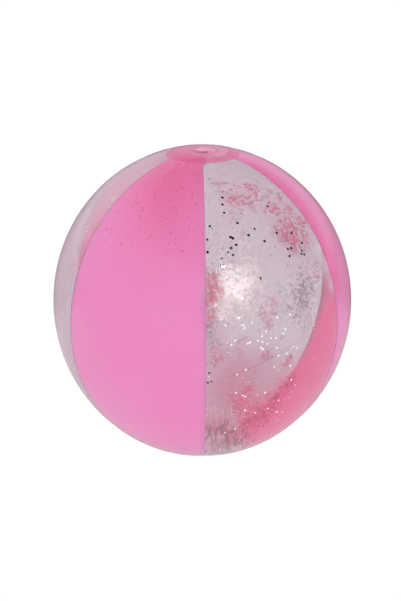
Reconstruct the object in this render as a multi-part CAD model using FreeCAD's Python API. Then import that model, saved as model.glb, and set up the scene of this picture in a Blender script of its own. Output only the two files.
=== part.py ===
import FreeCAD, Part
import math
import os
import random

# Inflatable beach ball, 20 inches (51 cm) across when flat and about 35 cm across when blown up. Millimetres.
# The origin is the centre of the small flat patch that the ball stands on, and +Z runs up through both poles.
# Longitude is counted from -Y, towards +X. Six gores of film alternate between pink and clear.

Vector = FreeCAD.Vector
UP = Vector(0, 0, 1)

# ---- the ball ----
EQUATOR_RADIUS = 175.0      # outer radius of the gores at the equator
POLE_RATIO = 1.055          # polar half height over equatorial radius
FILM = 0.25                 # thickness of the PVC film
WELD_GAP = 0.02             # left between two welded layers of film
GORE_COUNT = 6
LAP_WIDTH = 5.0             # weld margin of a clear gore under its pink neighbour's edge
LAP_ROOT = 3.0              # how far that margin runs back under its own gore
MARGIN_SWEEP = 12.0         # more degrees of longitude than a margin takes up anywhere
POLE_HOLE_RADIUS = 29.5     # the gores' tips stop at this radius
CAP_RADIUS = 41.5           # radius of each polar cap
REST_PATCH_RADIUS = 18.0    # flat patch that a soft ball makes on the floor

# ---- the valve, in heights below or above the stem's rim ----
VALVE_HOLE_RADIUS = 15.5    # hole in the top cap
FLANGE_RADIUS = 22.0        # ring welded under the top cap
FLANGE_THICKNESS = 0.6
RIM_RECESS = 1.0            # the stem's rim lies this far below the cap when it is pushed in
STEM_RADIUS = 5.5
STEM_LENGTH = 15.5
LIP_RADIUS = 6.3            # rolled lip at the stem's mouth
LIP_HEIGHT = 1.2
BEAD_RADIUS = 6.1           # bead that the collar is moulded to
BEAD_HEIGHT = 1.4
BEAD_DEPTH = 7.5            # middle of the bead below the rim
MOUTH_RADIUS = 4.0          # wide mouth that the plug's pin fills
MOUTH_DEPTH = 6.0
BORE_RADIUS = 3.5           # bore for the pump nozzle
COLLAR_THICKNESS = 0.4
COLLAR_EDGE_GAP = 0.05      # between the collar's outer edge and the hole's wall
COLLAR_GAP = 0.15           # between the collar's inner edge and the bead
PLUG_GAP = 0.3              # between the plug's head and the stem's rim
PLUG_HEAD_RADIUS = 7.0
PLUG_HEAD_THICKNESS = 1.4
PLUG_PIN_TOP_RADIUS = 3.65
PLUG_PIN_END_RADIUS = 3.1
PLUG_PIN_LENGTH = 5.0
PULL_TAB_LENGTH = 3.2       # finger tab beyond the plug's head
PULL_TAB_WIDTH = 5.0
PULL_TAB_THICKNESS = 0.9
FLAP_RADIUS = 4.9
FLAP_THICKNESS = 0.8
FLAP_GAP = 0.3              # between the flap and the stem's inner end
FLAP_LUG_LENGTH = 1.6       # lug that reaches out to the flap's hinge line
FLAP_LUG_WIDTH = 3.0
TETHER_WIDTH = 2.6
TETHER_THICKNESS = 0.5
TETHER_REACH = 10.2         # how far the tether's loop stands out from the valve's axis
TETHER_HEAD_RISE = 0.4      # middle of the strap above the underside of the plug's head
TETHER_STEM_DEPTH = 3.4     # middle of the strap below the rim, where it meets the stem
TETHER_GAP = 0.05           # between the strap's ends and the pieces that they are moulded to

# ---- loose glitter inside the ball ----
GLITTER_CLEARANCE = 0.35    # between the film's inner layers and a flake
GLITTER_TOP_LATITUDE = 66.0  # in degrees, clear of the caps
GLITTER_CELL = 6.0           # spacing of the rows and of the cells in a row, in degrees
GLITTER_LANE = 2.0           # how far apart the lanes of the three kinds lie, in degrees
GLITTER_KINDS = {
    # node name: (number of flakes, width across corners, thickness, lane, seed)
    "glitter_silver": (90, 2.4, 0.12, -1, 11),
    "glitter_pink": (120, 1.6, 0.10, 0, 23),
    "glitter_gold": (60, 2.0, 0.10, 1, 37),
}

POLE_RADIUS = EQUATOR_RADIUS * POLE_RATIO
CAP_OUTSET = WELD_GAP + FILM                    # the caps lie on the outside of the gores


def height_on_ellipse(radius, inset=0.0):
    """Height above the ball's centre of the layer this far inside the gores' outer face, at a radius."""
    equator = EQUATOR_RADIUS - inset
    pole = POLE_RADIUS - inset
    return pole * math.sqrt(1.0 - (radius / equator) ** 2)


# The bottom of the lower cap is cut flat, and everything is lifted so that this patch is at height 0.
CENTRE_HEIGHT = height_on_ellipse(REST_PATCH_RADIUS, -CAP_OUTSET)
RIM_HEIGHT = CENTRE_HEIGHT + height_on_ellipse(VALVE_HOLE_RADIUS, -CAP_OUTSET) - RIM_RECESS


def profile_point(radius, height):
    """A point of a profile in the XZ plane."""
    return Vector(radius, 0, height)


def line(start, end):
    """A straight edge."""
    return Part.LineSegment(start, end).toShape()


def meridian(inset, angle_from, angle_to):
    """Arc of the ball's ellipse, a layer this far inside the outer face, by angle from the upper pole."""
    centre = Vector(0, 0, CENTRE_HEIGHT)
    pole_end = centre + Vector(0, 0, POLE_RADIUS - inset)
    equator_end = centre + Vector(EQUATOR_RADIUS - inset, 0, 0)
    ellipse = Part.Ellipse(pole_end, equator_end, centre)
    return Part.ArcOfEllipse(ellipse, angle_from, angle_to).toShape()


def layer_face(inset, thickness, radius_above=None, radius_below=None, radius_out=None):
    """Profile of one layer of film. It runs from radius_above near the upper pole to radius_below near the
    lower pole, or to radius_out on the upper half only."""
    arcs = []
    for depth in (inset, inset + thickness):
        start = math.asin(radius_above / (EQUATOR_RADIUS - depth))
        if radius_out is None:
            end = math.pi - math.asin(radius_below / (EQUATOR_RADIUS - depth))
        else:
            end = math.asin(radius_out / (EQUATOR_RADIUS - depth))
        arcs.append(meridian(depth, start, end))
    outer, inner = arcs
    start_edge = line(outer.valueAt(outer.FirstParameter), inner.valueAt(inner.FirstParameter))
    end_edge = line(outer.valueAt(outer.LastParameter), inner.valueAt(inner.LastParameter))
    return Part.Face(Part.Wire(Part.__sortEdges__([outer, end_edge, inner, start_edge])))


def revolve(face, start_longitude=0.0, sweep=360.0):
    """Revolve an XZ profile about the polar axis from one longitude, in degrees."""
    solid = face.revolve(Vector(0, 0, 0), UP, sweep)
    solid.rotate(Vector(0, 0, 0), UP, start_longitude - 90.0)
    return solid


def revolved_outline(points):
    """A full solid of revolution about the polar axis from a closed outline of straight edges."""
    outline = Part.makePolygon([profile_point(*point) for point in points + points[:1]])
    return Part.Face(outline).revolve(Vector(0, 0, 0), UP, 360)


def beside_seam(longitude, back, ahead):
    """A slab along the seam plane at this longitude, from back behind it to ahead beyond it."""
    reach = EQUATOR_RADIUS + 10.0
    height = 2.0 * (POLE_RADIUS + 10.0)
    slab = Part.makeBox(reach, back + ahead, height, Vector(0, -back, CENTRE_HEIGHT - height / 2.0))
    slab.rotate(Vector(0, 0, 0), UP, longitude - 90.0)
    return slab


def weld_margin(seam, panel_side):
    """Strip of film along a seam that a panel is welded by. It is rooted under the panel, which lies ahead of
    the seam for a panel_side of 1 and behind it for -1, and runs under the neighbour on the other side."""
    margin_face = layer_face(FILM + WELD_GAP, FILM, POLE_HOLE_RADIUS, POLE_HOLE_RADIUS)
    step_face = layer_face(FILM / 2.0, FILM + WELD_GAP, POLE_HOLE_RADIUS, POLE_HOLE_RADIUS)
    margin = revolve(margin_face, seam - MARGIN_SWEEP, 2.0 * MARGIN_SWEEP)
    if panel_side > 0:
        step = revolve(step_face, seam, MARGIN_SWEEP).common(beside_seam(seam, 0.0, LAP_ROOT))
        return [step, margin.common(beside_seam(seam, LAP_WIDTH, LAP_ROOT))]
    step = revolve(step_face, seam - MARGIN_SWEEP, MARGIN_SWEEP).common(beside_seam(seam, LAP_ROOT, 0.0))
    return [step, margin.common(beside_seam(seam, LAP_ROOT, LAP_WIDTH))]


def gore(start_longitude, lapped):
    """One panel of film. A lapped panel has a weld margin along both of its sides."""
    span = 360.0 / GORE_COUNT
    skin = revolve(layer_face(0.0, FILM, POLE_HOLE_RADIUS, POLE_HOLE_RADIUS), start_longitude, span)
    if not lapped:
        return skin
    return skin.fuse(weld_margin(start_longitude, 1) + weld_margin(start_longitude + span, -1))


def top_cap():
    """Round film cap over the upper tips, with the hole for the valve."""
    return revolve(layer_face(-CAP_OUTSET, FILM, VALVE_HOLE_RADIUS, radius_out=CAP_RADIUS))


def bottom_cap():
    """Round film cap over the lower tips, flat where the ball stands on it."""
    def arc_below(inset, flat_height):
        equator = EQUATOR_RADIUS - inset
        flat_radius = equator * math.sqrt(1.0 - ((CENTRE_HEIGHT - flat_height) / (POLE_RADIUS - inset)) ** 2)
        edge_angle = math.pi - math.asin(CAP_RADIUS / equator)
        flat_angle = math.pi - math.asin(flat_radius / equator)
        return meridian(inset, edge_angle, flat_angle)
    outer = arc_below(-CAP_OUTSET, 0.0)
    inner = arc_below(-CAP_OUTSET + FILM, FILM)
    outer_edge, outer_flat = outer.valueAt(outer.FirstParameter), outer.valueAt(outer.LastParameter)
    inner_edge, inner_flat = inner.valueAt(inner.FirstParameter), inner.valueAt(inner.LastParameter)
    edges = [
        outer,
        line(outer_flat, profile_point(0, 0)),
        line(profile_point(0, 0), profile_point(0, FILM)),
        line(profile_point(0, FILM), inner_flat),
        inner,
        line(inner_edge, outer_edge),
    ]
    return revolve(Part.Face(Part.Wire(Part.__sortEdges__(edges))))


def valve_flange():
    """Ring welded to the inside of the top cap around the valve."""
    return revolve(layer_face(0.0, FLANGE_THICKNESS, VALVE_HOLE_RADIUS, radius_out=FLANGE_RADIUS))


def valve_collar():
    """Thin cone from the flange down to the bead on the stem. It turns inside out when the stem pops up."""
    outer_radius = VALVE_HOLE_RADIUS - COLLAR_EDGE_GAP
    outer_height = CENTRE_HEIGHT + height_on_ellipse(VALVE_HOLE_RADIUS, FLANGE_THICKNESS)
    inner_radius = BEAD_RADIUS + COLLAR_GAP
    inner_height = RIM_HEIGHT - BEAD_DEPTH
    return revolved_outline([
        (outer_radius, outer_height),
        (outer_radius, outer_height + COLLAR_THICKNESS),
        (inner_radius, inner_height + COLLAR_THICKNESS / 2.0),
        (inner_radius, inner_height - COLLAR_THICKNESS / 2.0),
    ])


def valve_stem():
    """Short tube with a rolled lip, a bead for the collar, a wide mouth and a narrower bore."""
    bead_top = RIM_HEIGHT - BEAD_DEPTH + BEAD_HEIGHT / 2.0
    bead_bottom = bead_top - BEAD_HEIGHT
    return revolved_outline([
        (MOUTH_RADIUS, RIM_HEIGHT),
        (LIP_RADIUS, RIM_HEIGHT),
        (LIP_RADIUS, RIM_HEIGHT - LIP_HEIGHT),
        (STEM_RADIUS, RIM_HEIGHT - LIP_HEIGHT),
        (STEM_RADIUS, bead_top),
        (BEAD_RADIUS, bead_top),
        (BEAD_RADIUS, bead_bottom),
        (STEM_RADIUS, bead_bottom),
        (STEM_RADIUS, RIM_HEIGHT - STEM_LENGTH),
        (BORE_RADIUS, RIM_HEIGHT - STEM_LENGTH),
        (BORE_RADIUS, RIM_HEIGHT - MOUTH_DEPTH),
        (MOUTH_RADIUS, RIM_HEIGHT - MOUTH_DEPTH),
    ])


def check_flap():
    """Disc under the stem's inner end, with a lug out to its hinge line at -X."""
    top = RIM_HEIGHT - STEM_LENGTH - FLAP_GAP
    disc = Part.makeCylinder(FLAP_RADIUS, FLAP_THICKNESS, Vector(0, 0, top - FLAP_THICKNESS))
    lug_corner = Vector(-FLAP_RADIUS - FLAP_LUG_LENGTH, -FLAP_LUG_WIDTH / 2.0, top - FLAP_THICKNESS)
    lug = Part.makeBox(FLAP_RADIUS + FLAP_LUG_LENGTH, FLAP_LUG_WIDTH, FLAP_THICKNESS, lug_corner)
    return disc.fuse(lug)


def valve_plug():
    """Plug with a flat head, a tapered pin in the stem's mouth and a finger tab at -X."""
    head_bottom = RIM_HEIGHT + PLUG_GAP
    head = Part.makeCylinder(PLUG_HEAD_RADIUS, PLUG_HEAD_THICKNESS, Vector(0, 0, head_bottom))
    pin_bottom = head_bottom - PLUG_PIN_LENGTH
    pin = Part.makeCone(PLUG_PIN_END_RADIUS, PLUG_PIN_TOP_RADIUS, PLUG_PIN_LENGTH, Vector(0, 0, pin_bottom))
    tab_corner = Vector(-PLUG_HEAD_RADIUS - PULL_TAB_LENGTH, -PULL_TAB_WIDTH / 2.0,
                        head_bottom + PLUG_HEAD_THICKNESS - PULL_TAB_THICKNESS)
    tab_length = PULL_TAB_LENGTH + PLUG_HEAD_RADIUS / 2.0
    tab = Part.makeBox(tab_length, PULL_TAB_WIDTH, PULL_TAB_THICKNESS, tab_corner)
    return head.fuse([pin, tab])


def plug_tether():
    """Strap from the plug's head at +X, out in a loop and back to the stem below its lip."""
    half = TETHER_THICKNESS / 2.0
    head_height = RIM_HEIGHT + PLUG_GAP + TETHER_HEAD_RISE
    stem_height = RIM_HEIGHT - TETHER_STEM_DEPTH
    bend_radius = (head_height - stem_height) / 2.0
    bend_centre = profile_point(TETHER_REACH - bend_radius, (head_height + stem_height) / 2.0)
    head_start = PLUG_HEAD_RADIUS + TETHER_GAP
    stem_start = STEM_RADIUS + TETHER_GAP

    def half_ring(radius):
        top = bend_centre + Vector(0, 0, radius)
        side = bend_centre + Vector(radius, 0, 0)
        bottom = bend_centre - Vector(0, 0, radius)
        return Part.Arc(top, side, bottom).toShape()

    outer = half_ring(bend_radius + half)
    inner = half_ring(bend_radius - half)
    edges = [
        line(profile_point(head_start, head_height + half), outer.valueAt(outer.FirstParameter)),
        outer,
        line(outer.valueAt(outer.LastParameter), profile_point(stem_start, stem_height - half)),
        line(profile_point(stem_start, stem_height - half), profile_point(stem_start, stem_height + half)),
        line(profile_point(stem_start, stem_height + half), inner.valueAt(inner.LastParameter)),
        inner,
        line(inner.valueAt(inner.FirstParameter), profile_point(head_start, head_height - half)),
        line(profile_point(head_start, head_height - half), profile_point(head_start, head_height + half)),
    ]
    face = Part.Face(Part.Wire(Part.__sortEdges__(edges)))
    strap = face.extrude(Vector(0, TETHER_WIDTH, 0))
    strap.translate(Vector(0, -TETHER_WIDTH / 2.0, 0))
    return strap


def hexagon_flake(width, thickness, latitude, longitude, twist):
    """One six-sided flake, flat against the inside of the film at a latitude and longitude in degrees."""
    corners = []
    for step in range(6):
        angle = math.radians(60.0 * step)
        corners.append(Vector(width / 2.0 * math.cos(angle), width / 2.0 * math.sin(angle), 0))
    flake = Part.Face(Part.makePolygon(corners + corners[:1])).extrude(Vector(0, 0, thickness))
    flake.rotate(Vector(0, 0, 0), UP, twist)
    inset = 2.0 * FILM + WELD_GAP + GLITTER_CLEARANCE + thickness
    polar = math.radians(90.0 - latitude)
    turn = math.radians(longitude - 90.0)
    radius = (EQUATOR_RADIUS - inset) * math.sin(polar)
    height = (POLE_RADIUS - inset) * math.cos(polar)
    normal_tilt = math.atan2(math.sin(polar) / EQUATOR_RADIUS, math.cos(polar) / POLE_RADIUS)
    flake.rotate(Vector(0, 0, 0), Vector(0, 1, 0), math.degrees(normal_tilt))
    flake.rotate(Vector(0, 0, 0), UP, math.degrees(turn))
    flake.translate(Vector(radius * math.cos(turn), radius * math.sin(turn), CENTRE_HEIGHT + height))
    return flake


def glitter(count, width, thickness, lane, seed):
    """A scatter of separate flakes on a grid of rows and cells. Each kind of flake keeps to its own lane of
    every row, so no two flakes meet."""
    rng = random.Random(seed)
    top_row = int(GLITTER_TOP_LATITUDE / GLITTER_CELL)
    taken = set()
    flakes = []
    while len(flakes) < count:
        highest = math.sin(math.radians(GLITTER_TOP_LATITUDE))
        row = round(math.degrees(math.asin(rng.uniform(-highest, highest))) / GLITTER_CELL)
        row = max(-top_row, min(top_row, row))
        latitude = GLITTER_CELL * row + GLITTER_LANE * lane
        cells_in_row = int(360.0 * math.cos(math.radians(latitude)) / GLITTER_CELL)
        cell = rng.randrange(cells_in_row)
        twist = rng.uniform(0.0, 60.0)
        if (row, cell) in taken:
            continue
        taken.add((row, cell))
        flakes.append(hexagon_flake(width, thickness, latitude, 360.0 * cell / cells_in_row, twist))
    return Part.makeCompound(flakes)


def parts():
    """Every node by name."""
    nodes = {
        "panel_pink_front_left": gore(-60.0, False),
        "panel_clear_front_right": gore(0.0, True),
        "panel_pink_right": gore(60.0, False),
        "panel_clear_back_right": gore(120.0, True),
        "panel_pink_back_left": gore(180.0, False),
        "panel_clear_left": gore(240.0, True),
        "top_cap": top_cap(),
        "bottom_cap": bottom_cap(),
        "valve_flange": valve_flange(),
        "valve_collar": valve_collar(),
        "valve_stem": valve_stem(),
        "check_flap": check_flap(),
        "valve_plug": valve_plug(),
        "plug_tether": plug_tether(),
    }
    for name, kind in GLITTER_KINDS.items():
        nodes[name] = glitter(*kind)
    return nodes


os.makedirs("parts", exist_ok=True)
for name, shape in parts().items():
    print(name, "valid", shape.isValid(), "solids", len(shape.Solids), "volume mm3", round(shape.Volume, 1))
    shape.exportStep("parts/" + name + ".step")
print("centre height", round(CENTRE_HEIGHT, 3), "rim height", round(RIM_HEIGHT, 3))
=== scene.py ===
import math

import bmesh
import bpy
import numpy as np
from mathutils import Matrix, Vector


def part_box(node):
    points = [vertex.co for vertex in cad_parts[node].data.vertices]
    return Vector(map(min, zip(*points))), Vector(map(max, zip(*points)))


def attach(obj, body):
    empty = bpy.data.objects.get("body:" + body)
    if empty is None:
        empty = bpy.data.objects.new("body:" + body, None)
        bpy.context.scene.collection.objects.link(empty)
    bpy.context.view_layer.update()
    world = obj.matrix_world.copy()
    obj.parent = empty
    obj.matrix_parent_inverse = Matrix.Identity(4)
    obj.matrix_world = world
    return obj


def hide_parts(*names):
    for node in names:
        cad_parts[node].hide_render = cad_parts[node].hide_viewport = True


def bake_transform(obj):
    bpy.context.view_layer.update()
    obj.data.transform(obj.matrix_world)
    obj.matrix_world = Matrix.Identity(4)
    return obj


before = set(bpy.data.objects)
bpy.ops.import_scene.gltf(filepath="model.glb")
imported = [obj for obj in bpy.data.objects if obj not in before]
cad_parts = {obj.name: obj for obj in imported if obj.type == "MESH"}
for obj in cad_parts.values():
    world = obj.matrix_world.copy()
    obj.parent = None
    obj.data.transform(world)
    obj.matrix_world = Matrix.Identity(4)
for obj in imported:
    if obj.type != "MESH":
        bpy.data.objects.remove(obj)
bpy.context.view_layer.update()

# Inflatable beach ball with glitter inside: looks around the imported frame. Metres, +Z up.
# Longitude runs from -Y towards +X, in degrees. Latitude runs from the equator towards the upper pole.
# "Polar" is the ellipse's own angle, 0 at the upper pole and pi at the lower one.

# ---- the ball's own sizes, read from the frame ----
PANEL_LOW, PANEL_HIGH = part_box("panel_pink_right")
CAP_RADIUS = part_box("top_cap")[1].x
VALVE_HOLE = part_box("valve_collar")[1].x
FLANGE_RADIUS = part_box("valve_flange")[1].x
STEM_LOW, STEM_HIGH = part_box("valve_stem")
PLUG_LOW, PLUG_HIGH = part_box("valve_plug")
FLAP_LOW, FLAP_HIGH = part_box("check_flap")
TETHER_LOW, TETHER_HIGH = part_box("plug_tether")

MM = 0.001
FILM = 0.25 * MM  # film thickness
WELD_GAP = 0.02 * MM
POLE_HOLE = 29.5 * MM  # radius where the gores' tips stop
LAP_WIDTH = 5.0 * MM  # weld margin of a gore under its neighbour
EQUATOR = PANEL_HIGH.x  # outer radius at the equator
CENTRE = (PANEL_LOW.z + PANEL_HIGH.z) / 2.0
POLE = (PANEL_HIGH.z - CENTRE) / math.sqrt(1.0 - (POLE_HOLE / EQUATOR) ** 2)
RIM = STEM_HIGH.z  # height of the valve stem's rim

GORE_SPAN = 60.0
GORES = (
    # CAD node, first longitude, is it pink
    ("panel_pink_front_left", -60.0, True),
    ("panel_clear_front_right", 0.0, False),
    ("panel_pink_right", 60.0, True),
    ("panel_clear_back_right", 120.0, False),
    ("panel_pink_back_left", 180.0, True),
    ("panel_clear_left", 240.0, False),
)

# ---- the film's gentle unevenness ----
SEAM_DIP = 0.45 * MM  # the welds are stiffer, so each seam lies in a shallow valley
SEAM_DIP_WIDTH = 7.0 * MM
SEAM_DIP_FROM = 30.0 * MM  # radii between which the valleys open out, beyond the valve
SEAM_DIP_FULL = 90.0 * MM
GORE_SWELL = 0.35 * MM  # the middle of each gore stands out
SWELL_POWER = 1.5  # how fast that dies out towards the poles
PUCKER = 0.16 * MM  # small ripples that die out away from the welds
PUCKER_REACH = 11.0 * MM
PUCKER_COUNT = 52
PUCKER_SEED = 5
SEAM_PHASE = 0.37  # radians that the ripples shift by from seam to seam
CAP_PUCKER = 0.35 * MM
CAP_PUCKER_REACH = 17.0 * MM
CAP_PUCKER_COUNT = 34
CAP_PUCKER_SEED = 9
CAP_PUCKER_INSIDE = 0.45  # share of the ripples that is left inside the cap's edge
WAVE_OFFSETS = (-5, -2, 0, 3, 7)  # counts beside the main one, which make the ripples uneven

# ---- the camera and its studio ----
CAMERA_DISTANCE = 10.58 * EQUATOR
CAMERA_ELEVATION = 20.4
CAMERA_LONGITUDE = -1.32
CAMERA_LENS = 93.8
CAMERA_SHIFT = (-0.0030, 0.0004)
DOME_SIDE = 1.26  # brightness of the white dome at the horizon and overhead
DOME_TOP = 0.88
DOME_RIGHT = 0.90  # share of it that is left towards +X
FLOOR = 1.02  # brightness of the floor, and of its mirror image in the film
FLOOR_MIRRORED = 0.30  # behind the ball, so that the film's outline stays a little darker
FLOOR_BEHIND = 0.25  # distance behind the ball's axis where that starts
CEILING = 0.004  # brightness of the dark ceiling that mirrors see above white walls
CEILING_FROM = 0.54  # sines of the elevation where it starts and is full, lower towards +X by the slope
CEILING_FULL = 0.62
CEILING_SLOPE = 0.5
BOX_LONGITUDE = 26.0  # direction, size in degrees from its middle, and brightness of the box
BOX_ELEVATION = 26.0
BOX_INNER = 3.0
BOX_OUTER = 15.0
BOX_BRIGHTNESS = 14.0


# ---- glitter dust that clings to the inside of the film, with painted glow and painted shade among it ----

# Clumps as (longitude, latitude, size in degrees, strength), given one by one: on the front clear gore, with
# longitudes from 0 to 60, and on the left one, below 0. The order of the dusts sets their seeds.
FRONT_DUST = {
    "dust_pink": (
        (11, 66, 3, 0.4), (16, 65, 2, 0.35), (13, 61, 2, 0.4), (38, 59, 3, 0.65), (35, 61, 2, 0.5),
        (18, 55, 3, 0.8), (20, 54, 3, 0.45), (24, 55, 2, 0.4), (28, 54, 2, 0.4), (48, 56, 2, 0.55),
        (53, 54, 2, 0.6), (52, 51, 2, 0.65), (54, 47, 2, 0.5), (50, 46, 2, 0.5), (42, 49, 3, 0.8),
        (34, 49, 2, 0.45), (14, 48, 3, 0.55), (23, 45, 2, 0.35), (42, 43, 2, 0.55), (36, 43, 2, 0.4),
        (46, 41, 3, 0.6), (56, 41, 3, 0.8), (49, 39, 2, 0.6), (39, 40, 3, 0.5), (44, 36, 4, 0.75),
        (41, 38, 3, 0.55), (42, 33, 3, 0.5), (52, 35, 3, 0.6), (3, 49, 2, 0.45), (4, 38, 2, 0.35),
        (51, 21, 3, 0.55), (2, 28, 4, 0.8), (3, 24, 4, 0.85), (5, 22, 3, 0.6), (1, 20, 5, 0.95),
        (1, 16, 4, 0.85), (3, 13, 3, 0.7), (2, 7, 3, 0.55), (4, 2, 2, 0.6), (2, 1, 2, 0.6),
        (3, -2, 3, 0.6), (6, 0, 2, 0.45), (10, -3, 2, 0.4), (32, -4, 3, 0.85), (30, -6, 2, 0.6),
        (47, 8, 3, 0.65), (16, -13, 3, 0.85), (9, -16, 3, 0.55), (13, -17, 4, 0.85), (14, -21, 4, 0.8),
        (21, -26, 6, 1.0), (19, -30, 5, 0.95), (27, -19, 4, 0.9), (32, -16, 4, 0.9), (29, -23, 5, 0.9),
        (35, -13, 3, 0.8), (26, -29, 5, 0.85), (22, -39, 4, 0.5), (26, -34, 4, 0.6), (24, -43, 4, 0.5),
        (46, 46, 13, 0.42), (50, 34, 10, 0.32), (36, 56, 9, 0.36), (13, 60, 9, 0.28), (24, 58, 9, 0.28),
        (52, 24, 7, 0.35), (18, -23, 10, 0.6), (30, -13, 8, 0.4), (6, -4, 9, 0.25),
    ),
    "dust_rose": (
        (57, 8, 6, 0.9), (51, 2, 7, 1.0), (60, 2, 7, 1.0), (47, -5, 7, 1.0), (57, -6, 8, 1.0),
        (41, -12, 8, 1.0), (52, -14, 9, 1.0), (34, -19, 8, 1.0), (45, -22, 10, 1.0), (26, -26, 8, 0.9),
        (37, -31, 10, 1.0), (54, -26, 8, 0.7), (50, -36, 9, 0.7), (27, -37, 8, 0.9), (42, -43, 9, 0.7),
        (33, -49, 9, 0.6), (19, -28, 6, 0.5), (15, -19, 4, 0.4),
        (-63, 55, 7, 0.4), (-63, 44, 7, 0.45), (-62, 33, 7, 0.45), (-62, 23, 6, 0.35),
    ),
    "dust_frost": (
        (8, 64, 9, 0.5), (20, 60, 10, 0.6), (34, 58, 10, 0.6), (12, 52, 9, 0.6), (28, 48, 9, 0.5),
        (6, 42, 8, 0.5), (30, 34, 8, 0.4), (57, 30, 5, 0.9), (58, 23, 5, 1.0), (59, 16, 4, 0.9),
        (-68, 64, 12, 0.9), (-70, 50, 12, 0.9), (-74, 36, 13, 0.8),
        (-77, 22, 13, 0.7), (-78, 8, 13, 0.65), (-79, -6, 13, 0.6), (-80, -20, 13, 0.6),
        (-78, -34, 13, 0.6), (-72, -46, 10, 0.6),
    ),
    # gold dust and painted glow: the pale clumps in the front clear gore's middle are a painted highlight
    # where the soft box is mirrored
    "dust_gold_and_glow": (
        (16, 44, 4, 0.4), (17, 39, 5, 0.5), (9, 39, 4, 0.4), (17, 32, 4, 0.5), (7, 35, 3, 0.6),
        (7, 30, 3, 0.9), (9, 28, 4, 1.0), (15, 29, 3, 0.7), (19, 31, 4, 0.7), (19, 26, 4, 0.9),
        (16, 24, 4, 0.8), (8, 23, 5, 1.0), (21, 23, 3, 0.7), (7, 18, 6, 1.0), (11, 19, 5, 1.0),
        (5, 16, 4, 0.9), (19, 14, 4, 0.55), (16, 18, 4, 0.7), (23, 16, 4, 0.55), (13, 14, 5, 0.6),
        (42, 6, 2, 0.45), (-64, 50, 6, 0.5), (-66, 35, 6, 0.5), (-62, 63, 6, 0.45), (-70, 15, 6, 0.45),
        (-68, 0, 6, 0.4), (16, 24, 13, 0.32),
    ),
    "dust_grey": (
        (45, 65, 3, 0.4), (50, 61, 3, 0.45), (55, 50, 3, 0.3), (36, 27, 2, 0.35), (30, 21, 3, 0.5),
        (35, 20, 2, 0.45), (41, 22, 3, 0.65), (40, 18, 4, 0.85), (45, 19, 3, 0.7), (40, 14, 4, 1.0),
        (31, 15, 3, 0.7), (36, 10, 3, 0.7), (39, 5, 3, 0.6), (42, 8, 2, 0.5), (26, 13, 3, 0.4),
        (1, 9, 4, 0.7), (3, 5, 3, 0.55), (2, 13, 3, 0.45), (38, 16, 11, 0.45), (44, 25, 8, 0.36),
        (4, -2, 8, 0.3), (8, 2, 7, 0.25),
    ),
    "fibre_pale": (
        (5, -24, 8, 0.45), (13, -30, 9, 0.5), (4, -36, 9, 0.55), (9, -43, 10, 0.55), (16, -50, 10, 0.55),
    ),
    "fibre_pink": (
        (3, -28, 9, 0.5), (10, -33, 10, 0.6), (18, -40, 10, 0.6), (6, -46, 10, 0.6), (12, -56, 10, 0.6),
    ),
    "fibre_dark": (
        (2, -33, 8, 0.6), (9, -31, 8, 0.55), (16, -36, 8, 0.55), (6, -41, 10, 0.65), (20, -46, 9, 0.55),
        (12, -49, 10, 0.65), (5, -57, 10, 0.6),
    ),
    # where the crease's painted shade lies
    "crease": (
        (10, -7, 7, 0.7), (17, -5, 7, 0.9), (24, -2, 7, 0.8), (30, 0, 5, 0.5),
    ),
    "blush": (
        (8, -12, 14, 0.8), (17, -6, 12, 0.6), (4, -30, 14, 0.85), (22, -24, 14, 0.9), (3, 20, 8, 0.5),
        (44, 38, 12, 0.45), (2, 4, 8, 0.5), (10, -11, 12, 0.5), (30, -40, 14, 0.7), (30, -12, 8, 0.4),
    ),
}
WARM_CLUMPS = (  # where the face of the pink film is warmer in tone
    (-30, 78, 22, 0.45), (-30, 62, 20, 0.35), (-20, 48, 20, 0.25), (61, 66, 7, 0.35), (61, 56, 7, 0.4),
    (61, 46, 7, 0.45), (61, 36, 7, 0.45), (61, 26, 7, 0.45), (61, 16, 7, 0.45),
)
PINK_DUSTS = ("dust_pink", "dust_rose")  # the others would show through pink film as blots
CLUMP_REACH = 0.85  # distance at which a clump has faded to a third, as a share of its size

FROST_LONGITUDES = (-116.0, -104.0, -90.0, 130.0, 150.0, 170.0)  # even frost on the other clear gores
FROST_LATITUDES = (-64.0, -42.0, -20.0, 2.0, 24.0, 46.0, 66.0)
FROST_SIZE = 14.0
FROST_STRENGTH = 0.5

PATCHES = {"dust_pink": 10, "dust_gold_and_glow": 10, "dust_grey": 10}  # random ones, away from the front
PATCH_CLUMPS = 7
PATCH_SPREAD = 7.0  # degrees
PATCH_LONGITUDES = (74.0, 250.0)  # of the patches' middles, and of all their clumps
CLUMP_LONGITUDES = (64.0, 266.0)
PATCH_SINE = 0.85  # the sine of the latitude stays within this
PATCH_SIZES = (2.0, 5.0)
PATCH_STRENGTHS = (0.35, 1.0)

CAP_MARKS = 14  # flecks of dark dust in a ring under each cap
CAP_MARK_LATITUDES = (82.0, 84.5)
CAP_MARK_SIZES = (1.5, 2.6)
CAP_MARK_STRENGTHS = (0.5, 0.8)

CREASE_LONGITUDES = (1.0, 31.0)  # two places on the faint crease across the front clear gore
CREASE_LATITUDES = (-10.0, 0.0)
CREASE_WIDTH = 1.3 * MM  # from its middle to where it has faded out


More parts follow.
